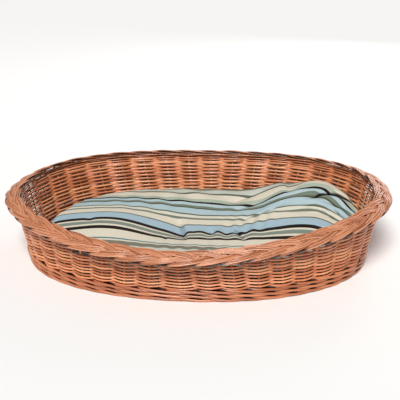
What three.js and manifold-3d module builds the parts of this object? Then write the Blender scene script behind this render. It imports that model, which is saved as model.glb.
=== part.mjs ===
// Oval willow pet bed basket with a loose cushion. Millimetres, +Z up, +X along the length,
// -Y towards the low front. The origin is on the ground under the middle of the basket.

import * as THREE from 'three';
import { mergeVertices } from 'three/addons/utils/BufferGeometryUtils.js';
import Module from 'manifold-3d';

const wasm = await Module();
wasm.setup();

// Wall: an oval base outline that flares in straight lines to the oval middle line of the border.
const BASE_HALF_LENGTH = 440;
const BASE_HALF_WIDTH = 297;
const BASE_SQUARENESS = 2.19;
const RIM_HALF_LENGTH = 480;
const RIM_HALF_WIDTH = 331;
const RIM_SQUARENESS_FRONT = 1.86;
const RIM_SQUARENESS_REAR = 2.5;
const RIM_HEIGHT_SIDE = 163.4;
const RIM_HEIGHT_FRONT = 124.7;
const RIM_HEIGHT_REAR = 165.7;

// Bands that the wall is woven in, from the ground up. Depths are measured inwards from the wall's skin.
const WALE_HEIGHT = 34;
const WALE_DEPTH = 16.5;
const WALE_BULGE = 1.5;
const WEAVE_DEPTH = 14;
const TOP_WALE_BELOW_RIM = 26;
const TOP_WALE_DEPTH = 13;
const TOP_WALE_CROWN_OUTER = 11;
const TOP_WALE_CROWN_INNER = 4;

// Border: a plait with an oval section that leans outwards.
const BORDER_HALF_WIDTH = 21;
const BORDER_HALF_THICKNESS = 9.5;
const BORDER_LEAN = THREE.MathUtils.degToRad(22);

// Upright stakes, a little closer together along the front.
const STAKE_COUNT = 40;
const STAKE_RADIUS = 3;
const STAKE_CROWDING = 0.065;
const STAKE_FRONT_SHIFT = 8;
const STAKE_FOOT = 5;
const STAKE_BELOW_RIM = 1;

// Base: woven plate round stout cross sticks, which are pierced by thinner long sticks.
const BASE_THICKNESS = 17.6;
const BASE_INSET = 17.4;
const STICK_HEIGHT = 8.8;
const LONG_STICK_RADIUS = 2.4;
const LONG_STICK_SPACING = 180;
const LONG_STICK_COUNT = 2;
const CROSS_STICK_RADIUS = 4.2;
const CROSS_STICK_SPACING = 100;
const CROSS_STICK_COUNT = 8;
const STICK_END_INSET = 3;

// Cushion: a stuffed oval cover with a zip in its flat underside.
const CUSHION_CENTRE_X = 10;
const CUSHION_HALF_LENGTH = 418;
const CUSHION_HALF_WIDTH = 282;
const CUSHION_SQUARENESS_FRONT = 2;
const CUSHION_SQUARENESS_REAR = 2.25;
const CUSHION_FLOOR = 18.2;
const CUSHION_EDGE_HEIGHT = 58;
const CUSHION_TOP = 84;
const CUSHION_FLATTENING = 1.12;
const CUSHION_MOUND = { height: 40, x: 300, y: 190, spreadX: 140, spreadY: 150 };
const CUSHION_HOLLOW = { height: -22, x: 50, y: 20, spreadX: 150, spreadY: 150 };
const CUSHION_LEFT_SWELL = { height: 18, x: -220, y: -60, spreadX: 100, spreadY: 130 };
const MOUND_EDGE_SHARE = 0.8;
const COVER_THICKNESS = 1.5;
const ZIP_LENGTH = 360;
const ZIP_Y = 110;
const ZIP_SLOT_WIDTH = 12;
const ZIP_TROUGH_MARGIN = 10;
const ZIP_TROUGH_WIDTH = 18;
const ZIP_TROUGH_DEPTH = 5;
const ZIP_TAPE_THICKNESS = 0.9;
const SLIDER_START_X = -150;
const SLIDER_THICKNESS = 3.6;
const SLIDER_CLEARANCE = 0.4;

const GAP = 0.3;
const RING_STEPS_PER_QUARTER = 20;
const ROD_SIDES = 6;
const BORDER_SIDES = 9;
const CUSHION_STEPS = 48;
const LENGTH_TABLE_STEPS = 2880;

const WILLOW = { color: 0xb9744a, roughness: 0.55, metalness: 0 };
const WILLOW_DARK = { color: 0x9a5a37, roughness: 0.6, metalness: 0 };
const WILLOW_PALE = { color: 0xcb8a5c, roughness: 0.5, metalness: 0 };
const COTTON = { color: 0xb9c4bd, roughness: 0.9, metalness: 0 };
const FIBRE = { color: 0xf2f0ea, roughness: 1, metalness: 0 };
const NYLON = { color: 0x8f8a80, roughness: 0.6, metalness: 0 };
const ZINC = { color: 0xb8b8b4, roughness: 0.35, metalness: 0.9 };

const basket = new THREE.Group();

function addPart(name, geometry, finish) {
  const mesh = new THREE.Mesh(geometry, new THREE.MeshStandardMaterial(finish));
  mesh.name = name;
  basket.add(mesh);
  return mesh;
}

// Solids

function toSolid(geometry) {
  const bare = geometry.clone();
  bare.deleteAttribute('normal');
  bare.deleteAttribute('uv');
  const merged = mergeVertices(bare);
  return new wasm.Manifold(new wasm.Mesh({
    numProp: 3,
    vertProperties: new Float32Array(merged.attributes.position.array),
    triVerts: new Uint32Array(merged.index.array),
  }));
}

function toGeometry(solid) {
  const mesh = solid.getMesh();
  const geometry = new THREE.BufferGeometry();
  geometry.setAttribute('position', new THREE.BufferAttribute(mesh.vertProperties, mesh.numProp));
  geometry.setIndex(new THREE.BufferAttribute(mesh.triVerts, 1));
  geometry.computeVertexNormals();
  return geometry;
}

function cut(geometry, tools) {
  const cutTools = tools.map(toSolid);
  return toGeometry(cutTools.reduce((solid, tool) => solid.subtract(tool), toSolid(geometry)));
}

function boxBetween(low, high) {
  const size = new THREE.Vector3().subVectors(high, low);
  const middle = new THREE.Vector3().addVectors(low, high).multiplyScalar(0.5);
  return new THREE.BoxGeometry(size.x, size.y, size.z).translate(middle.x, middle.y, middle.z);
}

// Placement of a straight rod: a cylinder along its own Y, turned to run from one point to another.
function rodPlacement(from, to) {
  const along = new THREE.Vector3().subVectors(to, from);
  const turn = new THREE.Quaternion().setFromUnitVectors(
    new THREE.Vector3(0, 1, 0), along.clone().normalize());
  const middle = new THREE.Vector3().addVectors(from, to).multiplyScalar(0.5);
  return { length: along.length(), turn, middle };
}

function addRod(name, from, to, radius, finish) {
  const { length, turn, middle } = rodPlacement(from, to);
  const mesh = addPart(name, new THREE.CylinderGeometry(radius, radius, length, ROD_SIDES), finish);
  mesh.quaternion.copy(turn);
  mesh.position.copy(middle);
}

// The same cylinder already in its place, longer at each end by a given reach.
function placedRod(from, to, radius, reach) {
  const { length, turn, middle } = rodPlacement(from, to);
  const rod = new THREE.CylinderGeometry(radius, radius, length + 2 * reach, ROD_SIDES);
  return rod.applyMatrix4(new THREE.Matrix4().compose(middle, turn, new THREE.Vector3(1, 1, 1)));
}

// A closed ring from the closed loops of points that section(angle) gives at each angle.
// Each loop runs up its outer side and down its inner side.
function ringSolid(angles, section) {
  const loops = angles.map(section);
  const side = loops[0].length;
  const positions = loops.flat().flatMap((point) => point.toArray());
  const indices = [];
  for (let i = 0; i < loops.length; i += 1) {
    const next = (i + 1) % loops.length;
    for (let j = 0; j < side; j += 1) {
      const up = (j + 1) % side;
      const [a, b] = [i * side + j, next * side + j];
      const [c, d] = [next * side + up, i * side + up];
      indices.push(a, b, c, a, c, d);
    }
  }
  const geometry = new THREE.BufferGeometry();
  geometry.setAttribute('position', new THREE.Float32BufferAttribute(positions, 3));
  geometry.setIndex(indices);
  geometry.computeVertexNormals();
  return geometry;
}

// The wall's surface

function signedPower(value, power) {
  return Math.sign(value) * Math.abs(value) ** power;
}

function oval(halfLength, halfWidth, squareness, angle) {
  const power = 2 / squareness;
  return new THREE.Vector2(
    halfLength * signedPower(Math.cos(angle), power),
    halfWidth * signedPower(Math.sin(angle), power));
}

function ovalNormal(halfLength, halfWidth, squareness, angle) {
  const power = 2 - 2 / squareness;
  return new THREE.Vector2(
    signedPower(Math.cos(angle), power) / halfLength,
    signedPower(Math.sin(angle), power) / halfWidth).normalize();
}

function rimSquareness(angle) {
  return Math.sin(angle) < 0 ? RIM_SQUARENESS_FRONT : RIM_SQUARENESS_REAR;
}

function rimHeight(angle) {
  const across = oval(RIM_HALF_LENGTH, RIM_HALF_WIDTH, rimSquareness(angle), angle).y / RIM_HALF_WIDTH;
  const end = across < 0 ? RIM_HEIGHT_FRONT : RIM_HEIGHT_REAR;
  return RIM_HEIGHT_SIDE + (end - RIM_HEIGHT_SIDE) * across ** 2;
}

function wallNormal(angle, share) {
  const foot = ovalNormal(BASE_HALF_LENGTH, BASE_HALF_WIDTH, BASE_SQUARENESS, angle);
  const rim = ovalNormal(RIM_HALF_LENGTH, RIM_HALF_WIDTH, rimSquareness(angle), angle);
  return foot.lerp(rim, share).normalize();
}

// The point of the wall at an angle and a height, a depth inwards from its skin.
function wallPoint(angle, height, depth) {
  const share = height / rimHeight(angle);
  const foot = oval(BASE_HALF_LENGTH, BASE_HALF_WIDTH, BASE_SQUARENESS, angle);
  const rim = oval(RIM_HALF_LENGTH, RIM_HALF_WIDTH, rimSquareness(angle), angle);
  const plan = foot.lerp(rim, share).addScaledVector(wallNormal(angle, share), -depth);
  return new THREE.Vector3(plan.x, plan.y, height);
}

// Angles at given distances along the border's middle line, counted from its rear middle, turning left.
function lengthTable() {
  const rear = Math.PI / 2;
  const table = [{ angle: rear, length: 0 }];
  let last = wallPoint(rear, rimHeight(rear), 0);
  for (let i = 1; i <= LENGTH_TABLE_STEPS; i += 1) {
    const angle = rear + (2 * Math.PI * i) / LENGTH_TABLE_STEPS;
    const point = wallPoint(angle, rimHeight(angle), 0);
    table.push({ angle, length: table[i - 1].length + point.distanceTo(last) });
    last = point;
  }
  return table;
}

const TABLE = lengthTable();
const RIM_LENGTH = TABLE[LENGTH_TABLE_STEPS].length;

function angleAt(length) {
  const above = Math.max(1, TABLE.findIndex((entry) => entry.length >= length));
  const [low, high] = [TABLE[above - 1], TABLE[above]];
  const share = (length - low.length) / (high.length - low.length);
  return low.angle + (high.angle - low.angle) * share;
}

function lengthAt(quarter) {
  return TABLE[(quarter * LENGTH_TABLE_STEPS) / 4].length;
}

// Evenly spaced angles that include both ends of the length and of the width.
function ringAngles() {
  const angles = [];
  for (let quarter = 0; quarter < 4; quarter += 1) {
    const [start, end] = [lengthAt(quarter), lengthAt(quarter + 1)];
    angles.push(TABLE[(quarter * LENGTH_TABLE_STEPS) / 4].angle);
    for (let i = 1; i < RING_STEPS_PER_QUARTER; i += 1) {
      angles.push(angleAt(start + ((end - start) * i) / RING_STEPS_PER_QUARTER));
    }
  }
  return angles;
}

const ANGLES = ringAngles();

function stakeAngle(index) {
  const turn = (2 * Math.PI * index) / STAKE_COUNT;
  const share = (turn + STAKE_CROWDING * Math.sin(turn)) / (2 * Math.PI);
  return angleAt(RIM_LENGTH * share + (STAKE_FRONT_SHIFT * (1 - Math.cos(turn))) / 2);
}

// Stakes

const stakes = Array.from({ length: STAKE_COUNT }, (_, index) => {
  const angle = stakeAngle(index);
  return {
    foot: wallPoint(angle, STAKE_FOOT, WEAVE_DEPTH / 2),
    head: wallPoint(angle, rimHeight(angle) - STAKE_BELOW_RIM, WEAVE_DEPTH / 2),
  };
});

stakes.forEach(({ foot, head }, index) => {
  addRod(`stake_${String(index + 1).padStart(2, '0')}`, foot, head, STAKE_RADIUS, WILLOW_PALE);
});

const stakeHoles = stakes.map(({ foot, head }) => placedRod(foot, head, STAKE_RADIUS + GAP, GAP));

// Woven bands of the wall

function band(corners) {
  return ringSolid(ANGLES, (angle) => corners(rimHeight(angle)).map(
    ([depth, height]) => wallPoint(angle, height, depth)));
}

const upsettWale = band(() => [
  [0, 0],
  [-WALE_BULGE, WALE_HEIGHT / 3],
  [-WALE_BULGE, (2 * WALE_HEIGHT) / 3],
  [0, WALE_HEIGHT],
  [WEAVE_DEPTH, WALE_HEIGHT],
  [WALE_DEPTH, (2 * WALE_HEIGHT) / 3],
  [WALE_DEPTH, 0],
]);

const sideWeave = band((rim) => [
  [0, WALE_HEIGHT + GAP],
  [0, rim - TOP_WALE_BELOW_RIM - GAP],
  [WEAVE_DEPTH, rim - TOP_WALE_BELOW_RIM - GAP],
  [WEAVE_DEPTH, WALE_HEIGHT + GAP],
]);

const topWale = band((rim) => [
  [WEAVE_DEPTH - TOP_WALE_DEPTH, rim - TOP_WALE_BELOW_RIM],
  [WEAVE_DEPTH - TOP_WALE_DEPTH, rim - TOP_WALE_CROWN_OUTER],
  [TOP_WALE_DEPTH, rim - TOP_WALE_CROWN_INNER],
  [TOP_WALE_DEPTH, rim - TOP_WALE_BELOW_RIM],
]);

addPart('upsett_wale', cut(upsettWale, stakeHoles), WILLOW_DARK);
addPart('side_weave', cut(sideWeave, stakeHoles), WILLOW);
addPart('top_wale', cut(topWale, stakeHoles), WILLOW_DARK);

// Border

function borderSection(angle) {
  const middle = wallPoint(angle, rimHeight(angle), 0);
  const outwards = wallNormal(angle, 1);
  return Array.from({ length: BORDER_SIDES }, (_, i) => {
    const turn = (2 * Math.PI * i) / BORDER_SIDES;
    const wide = BORDER_HALF_WIDTH * Math.cos(turn);
    const thick = BORDER_HALF_THICKNESS * Math.sin(turn);
    const out = wide * Math.cos(BORDER_LEAN) + thick * Math.sin(BORDER_LEAN);
    const up = thick * Math.cos(BORDER_LEAN) - wide * Math.sin(BORDER_LEAN);
    return new THREE.Vector3(middle.x + outwards.x * out, middle.y + outwards.y * out, middle.z + up);
  });
}

addPart('plaited_border', cut(ringSolid(ANGLES, borderSection), stakeHoles), WILLOW);

// Base

const PLATE_HALF_LENGTH = BASE_HALF_LENGTH - BASE_INSET;
const PLATE_HALF_WIDTH = BASE_HALF_WIDTH - BASE_INSET;

// How far an oval reaches along one axis, at a distance out along the other.
function reach(halfAlong, halfAcross, across) {
  const share = 1 - Math.abs(across / halfAcross) ** BASE_SQUARENESS;
  return halfAlong * share ** (1 / BASE_SQUARENESS);
}

function centred(count, spacing) {
  return Array.from({ length: count }, (_, i) => (i - (count - 1) / 2) * spacing);
}

const longSticks = centred(LONG_STICK_COUNT, LONG_STICK_SPACING).map((y) => {
  const end = reach(PLATE_HALF_LENGTH, PLATE_HALF_WIDTH, y) - STICK_END_INSET;
  return { from: new THREE.Vector3(-end, y, STICK_HEIGHT), to: new THREE.Vector3(end, y, STICK_HEIGHT) };
});

const crossSticks = centred(CROSS_STICK_COUNT, CROSS_STICK_SPACING).map((x) => {
  const end = reach(PLATE_HALF_WIDTH, PLATE_HALF_LENGTH, x) - STICK_END_INSET;
  return { from: new THREE.Vector3(x, -end, STICK_HEIGHT), to: new THREE.Vector3(x, end, STICK_HEIGHT) };
});

const plateOutline = new THREE.Shape(ANGLES.map(
  (angle) => oval(PLATE_HALF_LENGTH, PLATE_HALF_WIDTH, BASE_SQUARENESS, angle)));
const plate = new THREE.ExtrudeGeometry(plateOutline, { depth: BASE_THICKNESS, bevelEnabled: false });
const longHoles = longSticks.map(
  ({ from, to }) => placedRod(from, to, LONG_STICK_RADIUS + GAP, BASE_INSET));
const crossHoles = crossSticks.map(
  ({ from, to }) => placedRod(from, to, CROSS_STICK_RADIUS + GAP, BASE_INSET));

addPart('base_weave', cut(plate, [...longHoles, ...crossHoles]), WILLOW);
longSticks.forEach(({ from, to }, index) => {
  addRod(`long_base_stick_${index + 1}`, from, to, LONG_STICK_RADIUS, WILLOW_PALE);
});
crossSticks.forEach(({ from, to }, index) => {
  const stick = cut(placedRod(from, to, CROSS_STICK_RADIUS, 0), longHoles);
  addPart(`cross_base_stick_${index + 1}`, stick, WILLOW_PALE);
});

// Cushion

function swelling({ height, x, y, spreadX, spreadY }, point) {
  return height * Math.exp(-(((point.x - x) / spreadX) ** 2) - ((point.y - y) / spreadY) ** 2);
}

// A crowned oval body: shares of its radius from the underside's middle, round its edge, to the top's middle.
// The inset moves its whole surface inwards.
function cushionSolid(inset) {
  const shares = [0.5, 0.75, 0.88, 0.96];
  const rings = [
    ...shares.map((share) => ({ share, side: -1 })),
    { share: 1, side: 0 },
    ...shares.toReversed().map((share) => ({ share, side: 1 })),
    { share: 0.25, side: 1 },
  ];
  const floor = CUSHION_FLOOR + inset;
  const ringPoint = ({ share, side }, angle) => {
    const squareness = Math.sin(angle) < 0 ? CUSHION_SQUARENESS_FRONT : CUSHION_SQUARENESS_REAR;
    const plan = oval(CUSHION_HALF_LENGTH - inset, CUSHION_HALF_WIDTH - inset, squareness, angle);
    plan.multiplyScalar(share);
    plan.x += CUSHION_CENTRE_X;
    const mound = swelling(CUSHION_MOUND, plan);
    const crown = CUSHION_TOP - inset + mound
      + swelling(CUSHION_HOLLOW, plan) + swelling(CUSHION_LEFT_SWELL, plan);
    const edge = CUSHION_EDGE_HEIGHT + MOUND_EDGE_SHARE * mound;
    const above = (crown - edge) * (1 - share ** 4) ** 0.4;
    const below = (edge - floor) * Math.min(1, CUSHION_FLATTENING * (1 - share ** 3) ** 0.45);
    return new THREE.Vector3(plan.x, plan.y, edge + (side > 0 ? above : side * below));
  };
  const points = [ringPoint({ share: 0, side: -1 }, 0)];
  for (const ring of rings) {
    for (let i = 0; i < CUSHION_STEPS; i += 1) {
      points.push(ringPoint(ring, (2 * Math.PI * i) / CUSHION_STEPS));
    }
  }
  points.push(ringPoint({ share: 0, side: 1 }, 0));
  const indices = [];
  const last = points.length - 1;
  const at = (ring, step) => 1 + ring * CUSHION_STEPS + (step % CUSHION_STEPS);
  for (let i = 0; i < CUSHION_STEPS; i += 1) {
    indices.push(0, at(0, i + 1), at(0, i));
    indices.push(last, at(rings.length - 1, i), at(rings.length - 1, i + 1));
    for (let ring = 0; ring + 1 < rings.length; ring += 1) {
      const [a, b] = [at(ring, i), at(ring, i + 1)];
      const [c, d] = [at(ring + 1, i + 1), at(ring + 1, i)];
      indices.push(a, b, c, a, c, d);
    }
  }
  const geometry = new THREE.BufferGeometry();
  geometry.setAttribute('position', new THREE.Float32BufferAttribute(points.flatMap((p) => p.toArray()), 3));
  geometry.setIndex(indices);
  geometry.computeVertexNormals();
  return geometry;
}

// A box over the zip's line, grown by a margin in plan, from under the cushion up to a height.
function zipBox(length, width, margin, low, high) {
  return boxBetween(
    new THREE.Vector3(-length / 2 - margin, ZIP_Y - width / 2 - margin, low),
    new THREE.Vector3(length / 2 + margin, ZIP_Y + width / 2 + margin, high));
}

const TROUGH_LENGTH = ZIP_LENGTH + 2 * ZIP_TROUGH_MARGIN;
const TROUGH_ROOF = CUSHION_FLOOR + ZIP_TROUGH_DEPTH;
const SLOT_ROOF = TROUGH_ROOF + COVER_THICKNESS;
const BELOW = CUSHION_FLOOR - 10;

function troughBox(margin, high) {
  return zipBox(TROUGH_LENGTH, ZIP_TROUGH_WIDTH, margin, BELOW, high);
}

const lining = toSolid(cushionSolid(COVER_THICKNESS))
  .subtract(toSolid(troughBox(COVER_THICKNESS, SLOT_ROOF)));
const slot = zipBox(ZIP_LENGTH, ZIP_SLOT_WIDTH, 0, TROUGH_ROOF - 1, SLOT_ROOF + 1);
const cover = toSolid(cushionSolid(0))
  .subtract(toSolid(troughBox(0, TROUGH_ROOF)))
  .subtract(lining)
  .subtract(toSolid(slot));
addPart('cushion_cover', toGeometry(cover), COTTON);

addPart('cushion_filling', cut(cushionSolid(COVER_THICKNESS + GAP), [
  troughBox(COVER_THICKNESS + GAP, SLOT_ROOF + GAP),
]), FIBRE);

const tapeFloor = TROUGH_ROOF + (COVER_THICKNESS - ZIP_TAPE_THICKNESS) / 2;
addPart('zip_tape', zipBox(
  ZIP_LENGTH, ZIP_SLOT_WIDTH, -GAP, tapeFloor, tapeFloor + ZIP_TAPE_THICKNESS), NYLON);

function sliderOutline() {
  const outline = new THREE.Shape();
  outline.moveTo(-8, -3);
  outline.lineTo(6, -4.5);
  outline.lineTo(6, 4.5);
  outline.lineTo(-8, 3);
  outline.lineTo(-10, 2);
  outline.lineTo(-28, 2.5);
  outline.lineTo(-28, -2.5);
  outline.lineTo(-10, -2);
  outline.closePath();
  return outline;
}

const slider = addPart('zip_slider', new THREE.ExtrudeGeometry(
  sliderOutline(), { depth: SLIDER_THICKNESS, bevelEnabled: false }), ZINC);
slider.position.set(SLIDER_START_X, ZIP_Y, TROUGH_ROOF - SLIDER_CLEARANCE - SLIDER_THICKNESS);

export default basket;
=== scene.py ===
import math

import bpy
import numpy as np
from mathutils import Matrix, Vector


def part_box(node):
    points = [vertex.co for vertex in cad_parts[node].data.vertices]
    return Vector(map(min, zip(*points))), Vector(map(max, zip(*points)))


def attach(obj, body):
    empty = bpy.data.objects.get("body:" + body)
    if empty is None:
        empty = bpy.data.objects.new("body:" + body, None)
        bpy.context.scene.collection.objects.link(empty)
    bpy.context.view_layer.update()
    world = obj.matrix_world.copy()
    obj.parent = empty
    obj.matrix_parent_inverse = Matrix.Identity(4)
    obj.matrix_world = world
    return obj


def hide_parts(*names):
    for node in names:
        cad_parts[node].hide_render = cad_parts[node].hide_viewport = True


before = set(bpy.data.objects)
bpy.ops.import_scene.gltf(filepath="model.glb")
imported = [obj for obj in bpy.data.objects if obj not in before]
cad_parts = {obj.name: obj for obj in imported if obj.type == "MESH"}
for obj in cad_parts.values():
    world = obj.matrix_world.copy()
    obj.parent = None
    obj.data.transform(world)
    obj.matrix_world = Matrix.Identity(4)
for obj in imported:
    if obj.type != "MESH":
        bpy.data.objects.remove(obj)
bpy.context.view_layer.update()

scene = bpy.context.scene
# Places and sizes are in millimetres, and MM turns them into metres. The studio and materials use metres.
MM = 0.001
rng = np.random.default_rng(41)

# Camera, lights and floor

# Angles in radians and lengths in metres. The lens is in millimetres on a sensor 36 mm wide.
CAMERA_ELEVATION = math.radians(20.703)
CAMERA_AZIMUTH = math.radians(9.112)
CAMERA_ROLL = math.radians(-1.647)
CAMERA_DISTANCE = 2.10371
CAMERA_ASIDE = 0.01483
CAMERA_RAISE = 0.0547
CAMERA_AIM_HEIGHT = 0.08
CAMERA_LENS = 72.03
WORLD_STRENGTH = 0.22
FLOOR_HALF_SIZE = 60
FLOOR_COLOUR = (0.93, 0.93, 0.93, 1)


def direction(azimuth, elevation):
    """Unit vector towards an azimuth and an elevation, in radians."""
    return Vector((
        math.sin(azimuth) * math.cos(elevation),
        -math.cos(azimuth) * math.cos(elevation),
        math.sin(elevation)))


def set_all(thing, settings):
    for key, value in settings.items():
        setattr(thing, key, value)


def add_object(name, data):
    """A new object in the scene."""
    thing = bpy.data.objects.new(name, data)
    scene.collection.objects.link(thing)
    return thing


def make_camera():
    """The camera looks at a point beside and above the basket's middle."""
    back = direction(CAMERA_AZIMUTH, CAMERA_ELEVATION)
    right = Vector((math.cos(CAMERA_AZIMUTH), math.sin(CAMERA_AZIMUTH), 0))
    up = back.cross(right)
    aim = Vector((0, 0, CAMERA_AIM_HEIGHT)) + right * CAMERA_ASIDE + up * CAMERA_RAISE
    c, s = math.cos(CAMERA_ROLL), math.sin(CAMERA_ROLL)
    axes = Matrix((right * c + up * s, up * c - right * s, back)).transposed()
    data = bpy.data.cameras.new("camera")
    data.lens = CAMERA_LENS
    camera = add_object("camera", data)
    camera.matrix_world = Matrix.Translation(aim + back * CAMERA_DISTANCE) @ axes.to_4x4()
    scene.camera = camera


def add_light(name, kind, azimuth, elevation, power, colour, distance=0, **settings):
    """A light that shines from an azimuth and an elevation, in degrees."""
    data = bpy.data.lights.new(name, kind)
    data.energy, data.color = power, colour
    set_all(data, settings)
    light = add_object(name, data)
    towards = direction(math.radians(azimuth), math.radians(elevation))
    light.location = towards * distance
    light.rotation_euler = towards.to_track_quat("Z", "Y").to_euler()


def make_studio():
    """A soft sun in front, a weak light behind and an even white sky."""
    add_light("key_light", "SUN", -2, 50, 3.25, (1, 0.985, 0.96), angle=math.radians(24))
    add_light("back_light", "AREA", 160, 24, 20, (1, 0.97, 0.97), distance=3, shape="DISK", size=1.5)
    world = bpy.data.worlds.new("studio")
    world.use_nodes = True
    sky = world.node_tree.nodes["Background"]
    sky.inputs["Color"].default_value = (1, 1, 1, 1)
    sky.inputs["Strength"].default_value = WORLD_STRENGTH
    scene.world = world
    scene.view_settings.view_transform = "Standard"
    scene.view_settings.look = "None"


def make_floor():
    """A pale floor so wide that its edges stay out of low views."""
    data = bpy.data.meshes.new("floor")
    corners = [(-1, -1), (1, -1), (1, 1), (-1, 1)]
    data.from_pydata([(x * FLOOR_HALF_SIZE, y * FLOOR_HALF_SIZE, 0) for x, y in corners], [], [(0, 1, 2, 3)])
    floor = add_object("floor", data)
    paper = Finish("floor_paper", 0.9, Base_Color=FLOOR_COLOUR, Specular_IOR_Level=0.1)
    data.materials.append(paper.material)


# Materials


def linear(*srgb):
    """Linear colour with alpha from sRGB values of 0 to 255."""
    share = [v / 255 for v in srgb]
    return (*[v / 12.92 if v <= 0.04045 else ((v + 0.055) / 1.055) ** 2.4 for v in share], 1)


class Finish:
    """A material and short ways to add nodes to it."""

    def __init__(self, name, roughness, **shader):
        self.material = bpy.data.materials.new(name)
        self.material.use_nodes = True
        self.tree = self.material.node_tree
        self.shader = self.tree.nodes["Principled BSDF"]
        self.shader.inputs["Roughness"].default_value = roughness
        for key, value in shader.items():
            self.shader.inputs[key.replace("_", " ")].default_value = value

    def node(self, kind, *inputs, **settings):
        """Adds a node. Inputs are values or sockets, in order, and None leaves one as it is."""
        node = self.tree.nodes.new("ShaderNode" + kind)
        set_all(node, settings)
        for socket, value in zip(node.inputs, inputs):
            if isinstance(value, bpy.types.NodeSocket):
                self.tree.links.new(value, socket)
            elif value is not None:
                socket.default_value = value
        return node

    def math(self, operation, *inputs):
        return self.node("Math", *inputs, operation=operation).outputs[0]

    def sum_of(self, a, share_a, b, share_b):
        return self.math("ADD", self.math("MULTIPLY", a, share_a), self.math("MULTIPLY", b, share_b))

    def varied(self, value, noise, size):
        """A value that a noise moves up and down."""
        return self.math("ADD", value, self.math("MULTIPLY", self.math("SUBTRACT", noise, 0.5), size))

    def attribute(self, name):
        return self.node("Attribute", attribute_name=name)

    def scaled(self, vector, scale):
        return self.node("VectorMath", vector, scale, operation="MULTIPLY").outputs[0]

    def noise(self, vector, scale=1.0, detail=2.0, roughness=0.5):
        return self.node("TexNoise", vector, None, scale, detail, roughness).outputs["Fac"]

    def ramp(self, factor, stops, interpolation="LINEAR"):
        node = self.node("ValToRGB", factor)
        ramp = node.color_ramp
        ramp.interpolation = interpolation
        for _ in range(len(stops) - 2):
            ramp.elements.new(0.5)
        for element, (position, colour) in zip(ramp.elements, stops):
            element.position, element.color = position, colour
        return node.outputs["Color"]

    def mix(self, factor, a, b, blend="MIX"):
        """Mixes colours, which are the node's seventh and eighth inputs."""
        skipped = [None] * 5
        return self.node("Mix", factor, *skipped, a, b, data_type="RGBA", blend_type=blend).outputs[2]

    def colour(self, socket):
        self.tree.links.new(socket, self.shader.inputs["Base Color"])

    def bump(self, height, strength, distance):
        node = self.node("Bump", strength, distance)
        self.tree.links.new(height, node.inputs["Height"])
        self.tree.links.new(node.outputs[0], self.shader.inputs["Normal"])


WHITE = (1, 1, 1, 1)

# The willow's markings, per metre along a rod and across it.
PATCH_SCALE = (9, 40, 40)
STREAK_SCALE = (24, 1100, 1100)
SCAR_SCALE = (21, 260, 260)
# Shares of a rod's own tone, its patches and its streaks in its place in the range of tones.
TONE_SHARE, PATCH_SHARE, STREAK_SHARE = 0.62, 0.38, 0.3
SCAR_COLOUR = (0.35, 0.28, 0.22, 1)
# Colour of the painted shade on the sides of rods that face into the weave.
RECESS_SHADE_COLOUR = (0.05, 0.018, 0.016, 1)


def willow(name, tones):
    """Varnished peeled willow, with tones, streaks and scars, and painted shade where rods face into the
    weave.
    """
    f = Finish(name, 0.42, Coat_Weight=0.6, Coat_Roughness=0.18, Specular_IOR_Level=0.45)
    grain = f.attribute("grain").outputs["Vector"]
    tone = f.attribute("tone").outputs["Fac"]
    patches = f.noise(f.scaled(grain, PATCH_SCALE), detail=2)
    streaks = f.noise(f.scaled(grain, STREAK_SCALE), detail=3, roughness=0.6)
    scars = f.node("TexVoronoi", f.scaled(grain, SCAR_SCALE), None, 1)
    mixed = f.varied(f.sum_of(tone, TONE_SHARE, patches, PATCH_SHARE), streaks, STREAK_SHARE)
    base = f.ramp(mixed, [(i / (len(tones) - 1) * 0.8 + 0.1, linear(*rgb)) for i, rgb in enumerate(tones)])
    mark = f.ramp(scars.outputs["Distance"], [(0.04, SCAR_COLOUR), (0.16, WHITE)])
    marked = f.mix(1.0, base, mark, "MULTIPLY")
    # Painted shade: the recess attribute darkens the sides of rods that face into the weave.
    painted_shade = f.ramp(f.attribute("recess_shade").outputs["Fac"], [(0.05, WHITE), (0.62, RECESS_SHADE_COLOUR)])
    f.colour(f.mix(1.0, marked, painted_shade, "MULTIPLY"))
    f.bump(streaks, 0.35, 0.0006)
    return f.material


WILLOW_WEAVE = willow("varnished_willow_weave", [
    (144, 78, 46), (196, 116, 73), (218, 136, 92), (232, 160, 112), (216, 140, 108)])
# The wale's tones are the weave's made darker: painted shade on the foot band near the floor.
WILLOW_WALE_SHADED = willow("varnished_willow_wale_shaded", [(132, 72, 42), (178, 104, 66), (200, 124, 82), (210, 136, 96)])
WILLOW_BORDER = willow("varnished_willow_border", [
    (146, 82, 52), (194, 124, 86), (212, 144, 106), (226, 164, 130)])
WILLOW_STAKE = willow("varnished_willow_stake", [(190, 120, 78), (214, 146, 100), (226, 164, 116)])

make_camera()
make_studio()
make_floor()

# Meshes


def assign(piece, body, replaced):
    """Gives a piece its body and the CAD nodes that it stands for."""
    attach(piece, body)
    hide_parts(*replaced)


def add_mesh(name, points, faces, material, body, replaced, smooth=True):
    """A piece from points in metres and faces."""
    data = bpy.data.meshes.new(name)
    data.from_pydata(np.asarray(points).tolist(), [], [list(face) for face in faces])
    data.polygons.foreach_set("use_smooth", [smooth] * len(data.polygons))
    data.materials.append(material)
    piece = add_object(name, data)
    assign(piece, body, replaced)
    return piece


def add_attribute(data, name, values):
    """Stores a number or a vector for each point of a mesh, for its material."""
    values = np.asarray(values, np.float32)
    kind, key = ("FLOAT_VECTOR", "vector") if values.ndim == 2 else ("FLOAT", "value")
    attribute = data.attributes.new(name, kind, "POINT")
    attribute.data.foreach_set(key, values.ravel())


def lengths_along(path):
    """Length of a path from its start to each of its points."""
    return np.concatenate([[0], np.cumsum(np.linalg.norm(np.diff(path, axis=0), axis=1))])


def unit(arrows):
    return arrows / np.linalg.norm(arrows, axis=-1, keepdims=True)


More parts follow.
